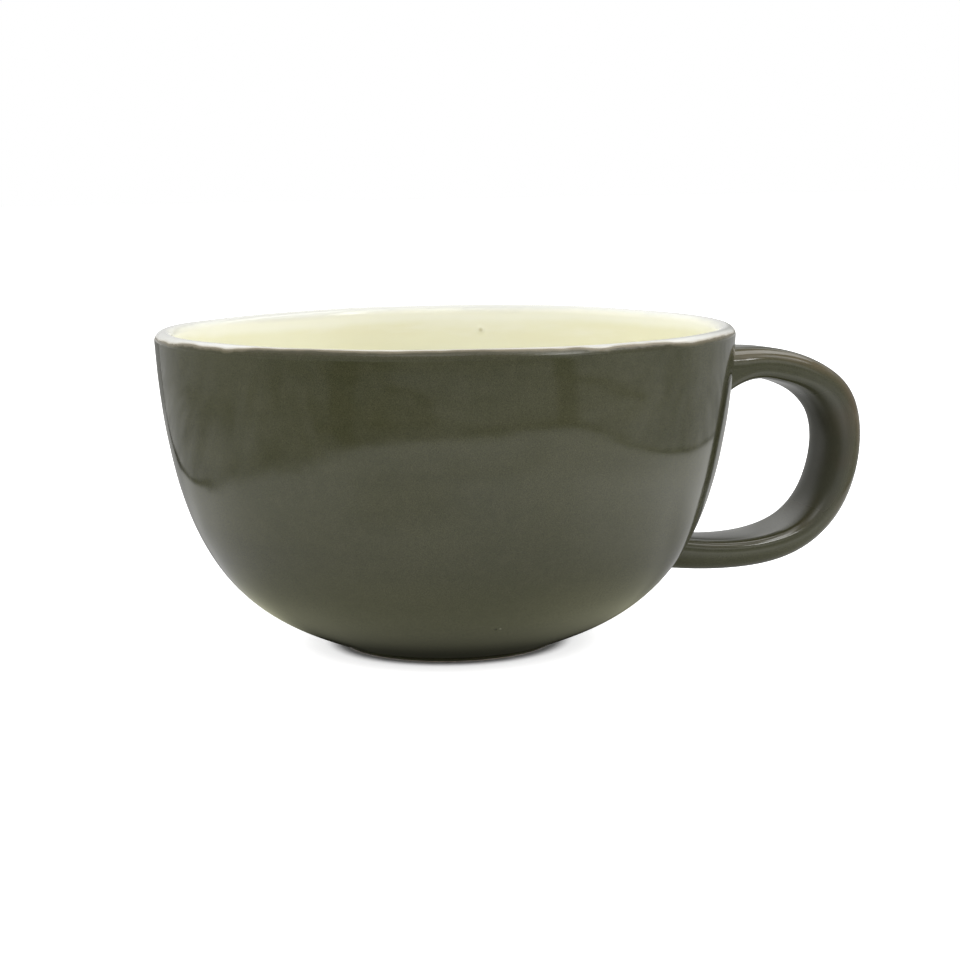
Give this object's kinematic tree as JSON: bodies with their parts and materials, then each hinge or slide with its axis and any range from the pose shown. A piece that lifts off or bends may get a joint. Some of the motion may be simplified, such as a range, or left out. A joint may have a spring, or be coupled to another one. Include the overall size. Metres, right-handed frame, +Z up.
{
  "type": "soup mug",
  "caption": "Wide, low glazed stoneware soup mug with a strap handle, a pale lined inside and a dark olive outside, standing on a low foot ring.",
  "frame": {"origin": "centre of the foot ring, on the table plane", "axes": "+Z up along the bowl's axis, +X from the bowl's axis to the handle"},
  "size_m": [0.1841, 0.14, 0.0775],
  "materials": {
    "fired_clay": "bare fired stoneware, fine grained and matte",
    "slip": "bare fired slip, matte",
    "cream_glaze": "gloss",
    "olive_glaze": "gloss"
  },
  "bodies": {
    "root": {"bowl_body": "fired_clay", "handle": "fired_clay", "upper_slip_joint": "slip", "lower_slip_joint": "slip", "liner_glaze": "cream_glaze", "outer_glaze": "olive_glaze", "handle_glaze": "olive_glaze"}
  },
  "joints": []
}
